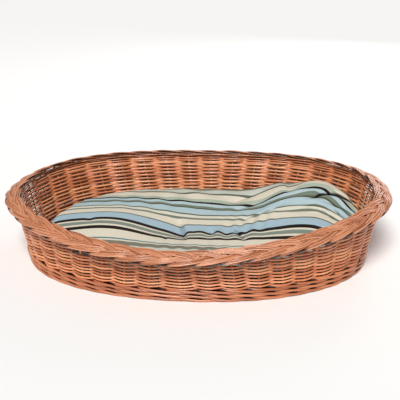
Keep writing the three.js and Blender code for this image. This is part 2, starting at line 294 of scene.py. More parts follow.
def with_ends(values):
    """Values with the first and the last of them doubled."""
    return np.concatenate([values[:1], values, values[-1:]])


ROD_END_LENGTH, ROD_END_RADIUS = 0.3, 0.72
ROD_GRAIN_SHIFT = 9000
# Painted recess shade: how fast it grows with a rod's swing, from where, and its share on faces turned
# inwards.
RECESS_SHADE_GAIN, RECESS_SHADE_FROM = 2.8, 0.4
RECESS_SHADE_INSIDE = 0.18


class Rods:
    """Round rods in one mesh, which keeps their tones, grain and painted recess shade for the material."""

    def __init__(self, sides):
        self.turn = np.linspace(0, 2 * np.pi, sides, endpoint=False)
        self.points, self.faces, self.tones, self.grains, self.recess_shades = [], [], [], [], []
        self.total = 0

    def add(self, path, radius, tone, up=(0, 0, 1), out=None, swing=0.0, groove_shade=0.0):
        """A rod along a path, with one radius or with one for each point.

        Swing says how far the rod stands out, along out: 1 in front of its neighbours, -1 behind them.
        The side of it that faces its neighbours gets painted recess shade of up to 1, and its flanks the
        painted groove shade.
        """
        path = np.asarray(path, float)
        radius = np.broadcast_to(radius, len(path)).astype(float)
        tangent = unit(np.gradient(path, axis=0))
        path, tangent, radius = with_ends(path), with_ends(tangent), with_ends(radius)
        path[0] -= tangent[0] * radius[0] * ROD_END_LENGTH
        path[-1] += tangent[-1] * radius[-1] * ROD_END_LENGTH
        radius[[0, -1]] *= ROD_END_RADIUS
        side = unit(np.cross(tangent, up))
        normal = np.cross(side, tangent)
        c, s = np.cos(self.turn), np.sin(self.turn)
        round_ = c[None, :, None] * side[:, None, :] + s[None, :, None] * normal[:, None, :]
        rings = path[:, None, :] + radius[:, None, None] * round_
        # Painted shade: sides that face into the weave get darker, behind the neighbours and in front of
        # them, and flanks in grooves too.
        recess_shade = np.zeros(rings.shape[:2])
        if out is not None:
            out, swing = with_ends(out), with_ends(swing)
            facing = (round_ * out[:, None, :]).sum(-1)
            behind = np.clip(-RECESS_SHADE_GAIN * swing - RECESS_SHADE_FROM, 0, 1)[:, None]
            in_front = np.clip(RECESS_SHADE_GAIN * swing - RECESS_SHADE_FROM, 0, 1)[:, None]
            outer, inner = np.clip(facing + 0.55, 0, 1), np.clip(0.2 - facing, 0, 1)
            hidden_shade = behind * outer + RECESS_SHADE_INSIDE * in_front * inner
            recess_shade = np.maximum(hidden_shade, groove_shade * np.clip(0.75 - np.abs(facing), 0, 1))
        count, sides = len(path), len(self.turn)
        grain = np.empty((count, sides, 3))
        grain[..., 0] = (lengths_along(path)[:, None] + tone * ROD_GRAIN_SHIFT) * MM
        grain[..., 1] = radius[:, None] * c * MM
        grain[..., 2] = radius[:, None] * s * MM
        i, j = np.meshgrid(np.arange(count - 1), np.arange(sides), indexing="ij")
        k = (j + 1) % sides
        quads = np.stack([i * sides + j, i * sides + k, (i + 1) * sides + k, (i + 1) * sides + j], -1)
        self.faces += (quads.reshape(-1, 4) + self.total).tolist()
        first = np.arange(sides) + self.total
        self.faces.append(first[::-1].tolist())
        self.faces.append((first + (count - 1) * sides).tolist())
        self.points.append(rings.reshape(-1, 3))
        self.tones.append(np.full(count * sides, tone))
        self.grains.append(grain.reshape(-1, 3))
        self.recess_shades.append(recess_shade.ravel())
        self.total += count * sides

    def piece(self, name, material, slot, replaced):
        """Makes the mesh of all rods added so far."""
        piece = add_mesh(name, np.vstack(self.points) * MM, self.faces, material, "basket", replaced)
        add_attribute(piece.data, "tone", np.concatenate(self.tones))
        add_attribute(piece.data, "recess_shade", np.concatenate(self.recess_shades))
        add_attribute(piece.data, "grain", np.vstack(self.grains))


def wander(x, size, reach):
    """Smooth random wandering along x, of about that size, over about that reach."""
    knots = np.arange(x.min() - 2 * reach, x.max() + 3 * reach, reach)
    values = rng.normal(0, size, len(knots))
    share = (x - knots[0]) / reach
    low = np.floor(share).astype(int)
    part = share - low
    part = part * part * (3 - 2 * part)
    return values[low] * (1 - part) + values[low + 1] * part


# The wall's surface, as in the CAD part

BASE_HALF_LENGTH, BASE_HALF_WIDTH, BASE_SQUARENESS = 440, 297, 2.19
RIM_HALF_LENGTH, RIM_HALF_WIDTH = 480, 331
RIM_SQUARENESS_FRONT, RIM_SQUARENESS_REAR = 1.86, 2.5
RIM_HEIGHT_SIDE, RIM_HEIGHT_FRONT, RIM_HEIGHT_REAR = 163.4, 124.7, 165.7
WALE_HEIGHT = 34
WALL_MIDDLE = 7
TOP_WALE_BELOW_RIM = 26
BORDER_LEAN = math.radians(22)
STAKES = 40
STAKE_RADIUS = 2.7
STAKE_CROWDING = 0.065
STAKE_FRONT_SHIFT = 8


def signed_power(value, power):
    return np.sign(value) * np.abs(value) ** power


def oval(half_length, half_width, squareness, angle):
    return np.stack([
        half_length * signed_power(np.cos(angle), 2 / squareness),
        half_width * signed_power(np.sin(angle), 2 / squareness)], -1)


def oval_normal(half_length, half_width, squareness, angle):
    return unit(np.stack([
        signed_power(np.cos(angle), 2 - 2 / squareness) / half_length,
        signed_power(np.sin(angle), 2 - 2 / squareness) / half_width], -1))


def rim_squareness(angle):
    return np.where(np.sin(angle) < 0, RIM_SQUARENESS_FRONT, RIM_SQUARENESS_REAR)


def rim_height(angle):
    across = signed_power(np.sin(angle), 2 / rim_squareness(angle))
    end = np.where(across < 0, RIM_HEIGHT_FRONT, RIM_HEIGHT_REAR)
    return RIM_HEIGHT_SIDE + (end - RIM_HEIGHT_SIDE) * across ** 2


def foot_outline(angle):
    return oval(BASE_HALF_LENGTH, BASE_HALF_WIDTH, BASE_SQUARENESS, angle)


def rim_outline(angle):
    return oval(RIM_HALF_LENGTH, RIM_HALF_WIDTH, rim_squareness(angle), angle)


def wall_normal(angle, share):
    foot = oval_normal(BASE_HALF_LENGTH, BASE_HALF_WIDTH, BASE_SQUARENESS, angle)
    rim = oval_normal(RIM_HALF_LENGTH, RIM_HALF_WIDTH, rim_squareness(angle), angle)
    return unit(foot + (rim - foot) * share[..., None])


def wall_point(angle, height, depth):
    """Points of the wall at an angle and a height, a depth inwards from its skin."""
    angle, height, depth = np.broadcast_arrays(angle, height, depth)
    share = height / rim_height(angle)
    foot, rim = foot_outline(angle), rim_outline(angle)
    plan = foot + (rim - foot) * share[..., None] - wall_normal(angle, share) * depth[..., None]
    return np.concatenate([plan, height[..., None].astype(float)], -1)


def woven_point(angle, height, depth):
    """Points of the wall, with the depth measured square to its slope."""
    flare = np.linalg.norm(rim_outline(angle) - foot_outline(angle), axis=-1) / rim_height(angle)
    return wall_point(angle, height + (depth - WALL_MIDDLE) * flare, depth)


TABLE_ANGLES = np.pi / 2 + np.linspace(0, 2 * np.pi, 2881)
TABLE_POINTS = wall_point(TABLE_ANGLES, rim_height(TABLE_ANGLES), 0)
TABLE_LENGTHS = lengths_along(TABLE_POINTS)
RIM_LENGTH = TABLE_LENGTHS[-1]


def angle_of(stake):
    """Angle at a stake number, which may lie between two stakes. Stake 0 stands in the middle of the rear."""
    turn = 2 * np.pi * np.asarray(stake, float) / STAKES
    share = (turn + STAKE_CROWDING * np.sin(turn)) / (2 * np.pi)
    length = RIM_LENGTH * share + STAKE_FRONT_SHIFT * (1 - np.cos(turn)) / 2
    rounds = np.floor(length / RIM_LENGTH)
    return np.interp(length - rounds * RIM_LENGTH, TABLE_LENGTHS, TABLE_ANGLES) + 2 * np.pi * rounds


# Woven wall

SAMPLES_PER_STAKE = 10
WEAVE_FOOT = 33
WEAVE_RADIUS = 3.25
WEAVE_RADIUS_RANGE = 0.94, 1.06
WEAVE_THINNING_FRONT = 0.85
WEAVE_SQUEEZE = 0.08
WEAVE_PITCH_FRONT = 4.45
WEAVE_ROWS = 22
WEAVE_SWING = 4.7
WEAVE_TAPER = 1.06, 0.92
# Stakes that a rod of a row passes, at least and less than.
WEAVE_LENGTHS = (9, 16)
TOP_LENGTHS = (12, 20)
# Joins: overlap in stakes, and how near an end, in stakes, and how far a rod leaves its row.
JOIN_OVERLAP = 0.42
JOIN_DEPTH_REACH, JOIN_DEPTH = 0.9, 1.2
JOIN_LIFT_REACH, JOIN_LIFT = 1.2, 0.9
# Wavering of the rods: size, and reach in stakes.
WEAVE_DEPTH_WAVER = (0.25, 1.3)
WEAVE_HEIGHT_WAVER = (0.32, 1.7)


def frontness(angle):
    """1 at the middle of the front, 0 from the ends round the rear."""
    return np.clip(-np.sin(angle), 0, 1) ** 1.5


def over_and_under(stake, row):
    """Depth of a rod of plain weave: in front of each second stake and behind the others."""
    swing = np.cos(np.pi * stake) + 0.05 * np.cos(3 * np.pi * stake)
    return WALL_MIDDLE - WEAVE_SWING * swing * (-1) ** row


def samples(start, end, per_stake=SAMPLES_PER_STAKE):
    """Evenly spaced stake numbers from start to end."""
    return np.linspace(start, end, max(3, round((end - start) * per_stake) + 1))


def near_ends(x, reach):
    """1 at the start of x, and 1 at its end, each falling to 0 at a reach from there."""
    return np.clip(1 - (x - x[0]) / reach, 0, 1), np.clip(1 - (x[-1] - x) / reach, 0, 1)


def level_normal(angle, share):
    """Level outward directions of the wall at a share of its height."""
    return np.column_stack([wall_normal(angle, np.full_like(angle, share)), np.zeros(len(angle))])


def stretches(stake, end, unit, lengths, overlap, per_stake):
    """Stake numbers along each of the rods that follow one another from a stake to the end."""
    while stake < end:
        stop = min(end, stake + unit * rng.integers(*lengths))
        yield samples(stake - overlap, stop + overlap, per_stake)
        stake = stop


def lay_row(rods, row, start, end, height, radius, lengths):
    """One row of the wall from stake to stake, made of rods joined behind stakes."""
    stake = start
    while stake < end - 1:
        stop = min(end, stake + int(rng.integers(*lengths)))
        if (stop + row) % 2 == 0:
            stop = min(end, stop + 1)
        x = samples(stake - JOIN_OVERLAP, stop + JOIN_OVERLAP)
        angle = angle_of(x)
        taper = np.linspace(*WEAVE_TAPER, len(x)) * (1 - WEAVE_SQUEEZE * np.sin(np.pi * x) ** 2)
        taper = taper * (radius - WEAVE_THINNING_FRONT * frontness(angle))
        depth = over_and_under(x, row) + wander(x, *WEAVE_DEPTH_WAVER)
        depth = depth + sum(near_ends(x, JOIN_DEPTH_REACH)) * JOIN_DEPTH
        first, last = near_ends(x, JOIN_LIFT_REACH)
        z = height(angle) + wander(x, *WEAVE_HEIGHT_WAVER) + (first * JOIN_LIFT - last * JOIN_LIFT)
        # The swing sets only the painted recess shade.
        rods.add(woven_point(angle, z, depth), taper, rng.random(), out=level_normal(angle, 0.5),
                 swing=(WALL_MIDDLE - depth) / WEAVE_SWING)
        stake = stop


def weave_pitch(angle):
    """Height of a row. The rows fill the wall but the last ones have no room at the low front."""
    room = (rim_height(angle) - TOP_WALE_BELOW_RIM - WEAVE_FOOT) / WEAVE_ROWS
    front = frontness(angle) ** 0.5
    return room * (1 - front) + WEAVE_PITCH_FRONT * front


def make_side_weave():
    """Plain weave. A row that lacks room at the front ends on both sides of it."""
    rods = Rods(8)
    everywhere = np.arange(STAKES)
    room = rim_height(angle_of(everywhere)) - TOP_WALE_BELOW_RIM
    for row in range(WEAVE_ROWS):
        def height(angle, row=row):
            return WEAVE_FOOT + (row + 0.5) * weave_pitch(angle)
        fits = height(angle_of(everywhere)) <= room
        if fits.all():
            start = int(rng.integers(0, STAKES))
            start += (start + row + 1) % 2
            end = start + STAKES
        else:
            front = np.flatnonzero(~fits)
            start, end = int(front.max()) + 1, int(front.min()) - 1 + STAKES
        radius = WEAVE_RADIUS * rng.uniform(*WEAVE_RADIUS_RANGE)
        lay_row(rods, row, start, end, height, radius, WEAVE_LENGTHS)
    rods.piece("side_weave_rods", WILLOW_WEAVE, "willow_weave", ["side_weave"])


TOP_ROWS = 6
TOP_PITCH = 3.1
TOP_RADIUS = 2.35


def make_top_wale():
    """Thin rows close together, which follow the rim."""
    rods = Rods(8)
    for row in range(TOP_ROWS):
        def height(angle, row=row):
            return rim_height(angle) - TOP_WALE_BELOW_RIM + (row + 0.5) * TOP_PITCH
        start = int(rng.integers(0, STAKES))
        start += (start + row) % 2
        lay_row(rods, row + 1, start, start + STAKES, height, TOP_RADIUS, TOP_LENGTHS)
    rods.piece("top_wale_rods", WILLOW_WEAVE, "willow_wale", ["top_wale"])


WALE_ROUNDS = 3
WALE_STRANDS = 3
WALE_RADIUS = 2.95
WALE_TAPER = 1.05, 0.93
WALE_OVERLAP = 0.2
WALE_WAVER = (0.3, 1.1)
WALE_MIDDLE, WALE_SWING, WALE_SQUARING = 5.1, 6.1, 1.5
WALE_RISE = 2.9
GROUND_GAP = 0.2


def make_upsett_wale():
    """Three rods at a time: each goes outside two stakes and inside the third."""
    rods = Rods(8)
    pitch = WALE_HEIGHT / WALE_ROUNDS
    for level in range(WALE_ROUNDS):
        start = int(rng.integers(0, STAKES))
        end = start + STAKES
        for strand in range(WALE_STRANDS):
            stake = start
            while stake < end:
                stop = stake + WALE_STRANDS * int(rng.integers(3, 6))
                stop = strand + 2 + WALE_STRANDS * round((stop - strand - 2) / WALE_STRANDS)
                stop = end if stop > end - WALE_STRANDS else stop
                x = samples(stake - WALE_OVERLAP, stop + WALE_OVERLAP)
                turn = 2 * np.pi * (x - strand - 0.5) / WALE_STRANDS
                depth = WALE_MIDDLE - WALE_SWING * np.cos(turn) + WALE_SQUARING * np.cos(2 * turn)
                depth = depth + wander(x, *WALE_WAVER)
                z = pitch * (level + 0.5) - WALE_RISE * np.sin(turn) + wander(x, *WALE_WAVER)
                radius = np.linspace(*WALE_TAPER, len(x)) * WALE_RADIUS
                path = woven_point(angle_of(x), z, depth)
                path[:, 2] = np.maximum(path[:, 2], radius + GROUND_GAP)
                out = level_normal(angle_of(x), 0.0)
                # The swing sets only the painted recess shade.
                rods.add(path, radius, rng.random(), out=out, swing=(4 - depth) / 5)
                stake = stop
    rods.piece("upsett_wale_rods", WILLOW_WALE_SHADED, "willow_wale", ["upsett_wale"])


STAKE_FOOT_HEIGHT = 8.0
STAKE_FOOT_DEPTHS = [22.0, 12.0]
STAKE_SHAFT_FROM, STAKE_SHAFT_BELOW_RIM = 13, 9
STAKE_STEPS = 14
STAKE_HEAD_TURNS, STAKE_HEAD_BELOW_RIM = np.array([[0.03, 0.1], [4.0, 1.5]])
STAKE_TAPER = 1.05, 0.95


def make_stakes():
    """Each stake comes level out of the base, stands in the wall, and ends in the border."""
    for number in range(STAKES):
        rods = Rods(12)
        angle = angle_of(number)
        rim = rim_height(angle)
        foot = wall_point(angle, STAKE_FOOT_HEIGHT, STAKE_FOOT_DEPTHS)
        heights = np.linspace(STAKE_SHAFT_FROM, rim - STAKE_SHAFT_BELOW_RIM, STAKE_STEPS)
        shaft = wall_point(angle, heights, float(WALL_MIDDLE))
        head = wall_point(angle_of(number + STAKE_HEAD_TURNS), rim - STAKE_HEAD_BELOW_RIM, float(WALL_MIDDLE))
        outwards = np.append(wall_normal(angle, np.array(0.5)), 0)
        path = np.vstack([foot, shaft, head])
        rods.add(path, np.linspace(*STAKE_TAPER, len(path)) * STAKE_RADIUS, rng.random(), up=outwards)
        node = f"stake_{number + 1:02d}"
        rods.piece(f"{node}_rod", WILLOW_STAKE, "willow_stake", [node])


make_side_weave()
make_top_wale()
make_upsett_wale()
make_stakes()

# Plaited border

PLAIT_STRANDS = 5
PLAIT_RODS = 5
PLAIT_SWING = 15.8
PLAIT_DWELL = 0.05
PLAIT_RISE = 3.1
PLAIT_ROD_RADIUS = 1.8
PLAIT_ROD_PITCH = 2 * PLAIT_ROD_RADIUS * 0.98
PLAIT_ROD_RADIUS_RANGE = 0.92, 1.08
PLAIT_OVERLAP = 0.1
PLAIT_LENGTHS = (3, 6)
PLAIT_WAVER_ACROSS = (0.4, 0.9)
PLAIT_WAVER_RISE = (0.35, 0.9)
# Painted shade in the border: on the flanks of its rods, and on strands where they dip under others.
PLAIT_GROOVE_SHADE = 0.35
PLAIT_SHADING = 0.6
# Rods that the plait is worked round: across the border and above its middle surface.
CORE_RODS = [(-13, -7.6), (-8.5, -8.2), (-4, -8.4), (0.5, -8.4), (5, -8.2), (9.5, -7.6)]
CORE_RADIUS = 2.3
CORE_OVERLAP = 0.2
CORE_LENGTHS = (8, 14)
CORE_WAVER_ACROSS = (0.5, 1.5)
CORE_WAVER_RISE = (0.4, 1.5)


def plait_point(stake, across, rise):
    """Points of the border: across its width, outwards, and above its middle surface."""
    angle = angle_of(stake)
    middle = wall_point(angle, rim_height(angle), 0)
    out = wall_normal(angle, np.ones_like(angle))
    wide = out * np.cos(BORDER_LEAN)
    thick = out * np.sin(BORDER_LEAN)
    x = middle[:, :2] + wide * across[:, None] + thick * rise[:, None]
    z = middle[:, 2] - np.sin(BORDER_LEAN) * across + np.cos(BORDER_LEAN) * rise
    return np.column_stack([x, z])


def make_border():
    """A flat plait of strands that swing from edge to edge, each over one strand and under the next."""
    rods = Rods(8)
    spacing = RIM_LENGTH / STAKES
    half_round = PLAIT_STRANDS / 2
    for strand in range(PLAIT_STRANDS):
        for slot in range(PLAIT_RODS):
            aside = (slot - (PLAIT_RODS - 1) / 2) * PLAIT_ROD_PITCH
            stake = -strand + half_round * (rng.integers(0, 3) + 0.25)
            for x in stretches(stake, stake + STAKES, half_round, PLAIT_LENGTHS, PLAIT_OVERLAP, 8):
                turn = 2 * np.pi * (x + strand) / PLAIT_STRANDS
                across = PLAIT_SWING * (np.cos(turn) - PLAIT_DWELL * np.cos(3 * turn))
                slope = PLAIT_SWING * (3 * PLAIT_DWELL * np.sin(3 * turn) - np.sin(turn))
                slope = slope * 2 * np.pi / (PLAIT_STRANDS * spacing)
                lean = np.sqrt(1 + slope ** 2)
                x_aside = x - aside * slope / lean / spacing
                across = across + aside / lean + wander(x, *PLAIT_WAVER_ACROSS)
                over = np.sin(2 * turn)
                rise = PLAIT_RISE * over + wander(x, *PLAIT_WAVER_RISE)
                path = plait_point(x_aside, across, rise)
                out = level_normal(angle_of(x), 1.0) * np.sin(BORDER_LEAN)
                out[:, 2] = np.cos(BORDER_LEAN)
                radius = PLAIT_ROD_RADIUS * rng.uniform(*PLAIT_ROD_RADIUS_RANGE)
                # Painted shade: strands that dip under others, and the flanks of the rods.
                rods.add(path, radius, rng.random(), out=out, swing=over * PLAIT_SHADING, groove_shade=PLAIT_GROOVE_SHADE)
    for across, rise in CORE_RODS:
        stake = float(rng.integers(0, STAKES))
        for x in stretches(stake, stake + STAKES, 1, CORE_LENGTHS, CORE_OVERLAP, 6):
            path = plait_point(x, across + wander(x, *CORE_WAVER_ACROSS), rise + wander(x, *CORE_WAVER_RISE))
            rods.add(path, CORE_RADIUS, rng.random())
    rods.piece("plaited_border_rods", WILLOW_BORDER, "willow_border", ["plaited_border"])


make_border()

# Base

STICK_HEIGHT = 8.8
BASE_INSET = 17.4
BASE_ROD_RADIUS = 2.05
BASE_ROD_PITCH = 4.7
BASE_SWING = 6.2
BASE_WAVER = (0.2, 60)
BASE_SHORTEST = 60
BASE_ROD_END_GAP = 2
BASE_FLAT_END = 30
LONG_STICK_CLEARANCE = 4.2
# Rods round the base's edge: inset from the wall's outline, and height.
BASE_EDGE_RODS = [(14.5, 4), (17, 9), (19.5, 13.5)]
BASE_EDGE_RADIUS = 2.8
BASE_EDGE_WAVER = (0.3, 2)
STICK_STEPS = 24


def stick_places(prefix, axis):
    """Names, middles along one axis, and boxes of the CAD's base sticks of that name."""
    nodes = sorted(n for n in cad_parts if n.startswith(prefix))
    return [(n, sum(v[axis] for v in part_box(n)) / 2 / MM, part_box(n)) for n in nodes]


LONG_STICKS = stick_places("long_base_stick", 1)
CROSS_STICKS = stick_places("cross_base_stick", 0)


def make_base():
    """Rods over and under the cross sticks, rods round the edge, and the sticks."""
    half_length, half_width = BASE_HALF_LENGTH - BASE_INSET, BASE_HALF_WIDTH - BASE_INSET
    cross = np.array([place for _, place, _ in CROSS_STICKS])
    spacing = (cross.max() - cross.min()) / (len(cross) - 1)
    rods = Rods(8)
    rows = int(half_width / BASE_ROD_PITCH)
    for row in range(-rows, rows + 1):
        y = row * BASE_ROD_PITCH
        if min(abs(y - place) for _, place, _ in LONG_STICKS) < LONG_STICK_CLEARANCE:
            continue
        reach = half_length * (1 - abs(y / half_width) ** BASE_SQUARENESS) ** (1 / BASE_SQUARENESS)
        if reach < BASE_SHORTEST:
            continue
        x = np.linspace(-reach + BASE_ROD_END_GAP, reach - BASE_ROD_END_GAP, max(8, int(reach / 6)))
        weave = np.cos(np.pi * (x - cross.min()) / spacing) * (-1) ** row
        inside = np.clip((reach - np.abs(x)) / BASE_FLAT_END, 0, 1)
        z = STICK_HEIGHT + BASE_SWING * weave * (0.4 + 0.6 * inside)
        path = np.column_stack([x, y + wander(x, *BASE_WAVER), z])
        rods.add(path, BASE_ROD_RADIUS * rng.uniform(0.93, 1.03), rng.random())
    for inset, z in BASE_EDGE_RODS:
        x = samples(0, STAKES, 6)
        angle = 2 * np.pi * x / STAKES
        edge = oval(BASE_HALF_LENGTH - inset, BASE_HALF_WIDTH - inset, BASE_SQUARENESS, angle)
        rods.add(np.column_stack([edge, z + wander(x, *BASE_EDGE_WAVER)]), BASE_EDGE_RADIUS, rng.random())
    rods.piece("base_weave_rods", WILLOW_WEAVE, "willow_weave", ["base_weave"])
    for places, axis in ((LONG_STICKS, 0), (CROSS_STICKS, 1)):
        for node, place, (low, high) in places:
            path = np.empty((STICK_STEPS, 3))
            path[:, axis] = np.linspace(low[axis], high[axis], STICK_STEPS) / MM
            path[:, 1 - axis] = place
            path[:, 2] = (low[2] + high[2]) / 2 / MM
            stick = Rods(12)
            stick.add(path, (high[1 - axis] - low[1 - axis]) / 2 / MM, rng.random())
            stick.piece(f"{node}_rod", WILLOW_STAKE, "willow_stake", [node])


make_base()

# Cushion

PAD_CENTRE_X = 10
PAD_HALF_LENGTH, PAD_HALF_WIDTH = 418, 282
PAD_SQUARENESS_FRONT, PAD_SQUARENESS_REAR = 2, 2.25
PAD_FLOOR = 18.2
PAD_EDGE_HEIGHT = 58
PAD_TOP = 84
PAD_FLATTENING = 1.12
PAD_RINGS = 26
PAD_STEPS = 120
PAD_INSET = 4
PAD_SPREAD = 0.05
REAR_RIGHT_SPREAD, REAR_RIGHT_SQUARENESS = 0.035, 0.3
PAD_BEND, PAD_BEND_FROM = 0.006, 300
PAD_VOXEL = 6.6
PAD_CAP = 7
EDGE_SHARE_OF_MOUND = 0.8
# How much higher the dark lining reaches at the front: painted shade on the cushion's side behind the front
# wall.
SHADE_RISE_FRONT = 13
WALL_INNER_DEPTH = 16
WALL_LEVELS = np.arange(0, 131, 10.0)
WALL_BEARINGS = 720
ZIP_Y = 110
ZIP_TROUGH_HALF_WIDTH = 10
ZIP_TROUGH_MARGIN = 14
ZIP_TROUGH_ROOM = 1.2
FILLING_GAP = 6
FILLING_VOXEL = 9
CLOTH_FRAMES = 20
CLOTH_SETTINGS = dict(
    quality=5, mass=0.25, tension_stiffness=12, compression_stiffness=12, shear_stiffness=4,
    bending_stiffness=0.4, use_pressure=True, uniform_pressure_force=4, shrink_min=-0.05)

# Swellings and hollows of the top: height, x, y, spread along x, spread along y.
MOUND = (48, 305, 195, 140, 150)
LUMPS = [
    (-22, 50, 20, 150, 150), (18, -220, -60, 100, 130), (-7, -80, -70, 60, 70), (12, 285, -35, 75, 60),
    (10, 178, 30, 55, 45), (-20, 125, 140, 60, 85), (8, 345, 150, 70, 70), (8, -350, -30, 70, 110),
]

# Folds of the top: line, depth at its start, middle and end, width to its right and to its left, darkness of
# the painted shade in its crease.
FOLDS = [
    ([(-40, 10), (-26, -35), (-16, -75), (-8, -118)], 10, 15, 3, 34, 7, 0.3),
    ([(-62, -80), (-54, -140)], 0, 3, 0, 6, 4, 0),
    ([(-280, -20), (-258, -80)], 0, 4, 0, 14, 9, 0),
    ([(265, 86), (300, 102), (337, 120), (371, 133), (409, 127), (432, 90)], 0, 12, 5, 12, 9, 1),
    ([(310, 78), (350, 84), (381, 75), (408, 40)], 0, 8, 3, 11, 10, 0.7),
    ([(335, 62), (366, 58), (398, 20)], 0, 7, 3, 11, 10, 0.7),
    ([(318, 36), (350, 32), (384, -2)], 0, 7, 3, 11, 9, 0.6),
    ([(285, 60), (320, 52), (345, 44)], 0, 7, 0, 7, 5, 0.5),
    ([(160, 62), (180, 72), (208, 80)], 2, 10, 1, 9, 6, 0.9),
    ([(110, 30), (150, 62), (235, 92)], 1, 6, 1, 10, 6, 0.3),
    ([(94, 0), (107, -24), (124, -60), (142, -100)], 2, 10, 4, 14, 5, 0.4),
    ([(40, -8), (52, -30), (58, -62)], 0, 7, 2, 9, 5, 0.2),
    ([(98, 118), (150, 150), (215, 170)], 6, 7, 0, 14, 9, 0.5),
    ([(90, 175), (130, 205), (190, 225)], 5, 6, 0, 12, 9, 0.5),
]
# Painted shade in creases: the fold depth where it begins, and how steep a slope may be and still get some of
# it.
CREASE_SHADE_FROM = 3
CREASE_SHADE_STEEPEST = 0.45

# Bunched cloth: height, length of a wave, the way across it, middle and spread of the place.
RUFFLES = [
    (4.5, 46, 0.15, 95, -52, 75, 42), (2.2, 31, -0.2, 150, 20, 60, 60), (1.6, 58, 0.5, -160, 120, 130, 90),
    (2.6, 37, 1.32, 315, 95, 100, 75), (1.5, 37, 0.1, 40, -190, 160, 45), (2.0, 64, 0.9, -40, 200, 120, 60),
]

# Stripes of the cloth, from the front of a repeat to its rear: width, sRGB colour.
CREAM = (212, 205, 187)
STRIPES = [
    (16, (120, 116, 100)), (6, CREAM), (5, (92, 124, 128)), (34, CREAM),
    (15, (24, 14, 8)), (8, CREAM), (15, (122, 132, 122)), (7, CREAM),
    (14, (24, 14, 8)), (33, (158, 182, 194)), (5, (104, 108, 96)), (28, CREAM),
    (9, (112, 118, 106)), (14, (210, 207, 191)), (7, (96, 102, 88)), (28, (168, 190, 196)),
    (6, (84, 80, 62)), (9, (110, 122, 108)), (14, (172, 192, 196)), (9, (34, 22, 12)),
    (15, (164, 176, 160)), (27, CREAM), (8, (92, 100, 88)), (22, (186, 192, 180)),
]
STRIPE_SCALE = 1.18
STRIPE_START = -185
# The dark lining of the underside, which also serves as painted shade behind the front wall.
LINING_AND_SHADE_COLOUR = linear(48, 33, 24)
# Colour of the painted shade in the creases of folds.
CREASE_SHADE_COLOUR = (0.04, 0.035, 0.03, 1)
WARP_SCALE, WEFT_SCALE = (60, 2200, 0), (2200, 60, 0)


def swelling(x, y, height, at_x, at_y, spread_x, spread_y):
    """Height at plan points of a smooth round hill."""
    return height * np.exp(-((x - at_x) / spread_x) ** 2 - ((y - at_y) / spread_y) ** 2)


def distance_from(points, line):
    """Distance of plan points from a line, how far they lie on its left, 0 to 1, and their share along it."""
    line = np.asarray(line, float)
    best, left, share = np.full(len(points), 1e9), np.zeros(len(points)), np.zeros(len(points))
    starts = lengths_along(line)
    for i, length in enumerate(np.linalg.norm(np.diff(line, axis=0), axis=1)):
        along = (line[i + 1] - line[i]) / length
        offset = points - line[i]
        t = np.clip(offset @ along, 0, length)
        gap = np.linalg.norm(offset - t[:, None] * along, axis=1)
        nearer = gap < best
        best = np.where(nearer, gap, best)
        lean = (along[0] * offset[:, 1] - along[1] * offset[:, 0]) / np.maximum(gap, 1e-9)
        left = np.where(nearer, np.clip(0.5 + lean, 0, 1), left)
        share = np.where(nearer, (starts[i] + t) / starts[-1], share)
    return best, left, share


def folds(x, y):
    """How far folds press the top down at plan points, and how dark the painted shade in their creases is
    there.
    """
    plan = np.column_stack([x, y])
    depth, crease_shade = np.zeros(len(plan)), np.zeros(len(plan))
    for line, start, middle, end, right, left, dark in FOLDS:
        away, leftness, share = distance_from(plan, line)
        deep = np.interp(share, [0, 0.5, 1], [start, middle, end])
        width = right + (left - right) * leftness
        depth += deep * np.exp(-(away / width) ** 1.6)
        # Painted shade along the deepest line of each fold.
        deep = deep - CREASE_SHADE_FROM
        width = np.clip(deep, 0, 9) * 0.75 + 1
        crease_shade = np.maximum(crease_shade, dark * np.clip(deep / 4, 0, 1) * np.exp(-(away / width) ** 4))
    return depth, crease_shade


def ruffle(x, y):
    """Bunched cloth: ridges that run across the stripes."""
    height = np.zeros_like(x)
    for size, wave, turn, at_x, at_y, spread_x, spread_y in RUFFLES:
        across = x * np.cos(turn) + y * np.sin(turn)
        window = swelling(x, y, 1, at_x, at_y, spread_x, spread_y)
        height += size * np.sin(2 * np.pi * across / wave) * window
    return height


def edge_height(x, y):
    """Height of the cushion's widest line."""
    return PAD_EDGE_HEIGHT + EDGE_SHARE_OF_MOUND * swelling(x, y, *MOUND)


def cushion_shape(share, angle, side, inset):
    """Points of a crowned oval body, spread to the wall. Side is 1 on top and -1 below."""
    rear_right = np.clip(np.sin(angle), 0, 1) * np.clip(np.cos(angle), 0, 1) * 2
    squareness = np.where(np.sin(angle) < 0, PAD_SQUARENESS_FRONT, PAD_SQUARENESS_REAR)
    squareness = squareness + REAR_RIGHT_SQUARENESS * rear_right
    plan = oval(PAD_HALF_LENGTH, PAD_HALF_WIDTH, squareness, angle)
    spread = PAD_SPREAD * (1 - np.clip(-np.cos(angle), 0, 1) ** 2)
    spread = spread + REAR_RIGHT_SPREAD * rear_right ** 0.5
    plan = plan * ((1 + spread) * (1 - inset / np.linalg.norm(plan, axis=-1)) * share)[..., None]
    x, y = plan[:, 0] + PAD_CENTRE_X, plan[:, 1]
    mound = swelling(x, y, *MOUND)
    crown = PAD_TOP + sum(swelling(x, y, *lump) for lump in (MOUND, *LUMPS))
    edge = edge_height(x, y)
    floor = PAD_FLOOR + inset
    fullness = 4 + mound / 8
    above = np.maximum(crown - inset - edge, 4) * (1 - share ** fullness) ** 0.4
    below = (edge - floor) * np.minimum(1, PAD_FLATTENING * (1 - share ** 3) ** 0.45)
    return np.column_stack([x, y, edge + np.where(side > 0, above, -below)])


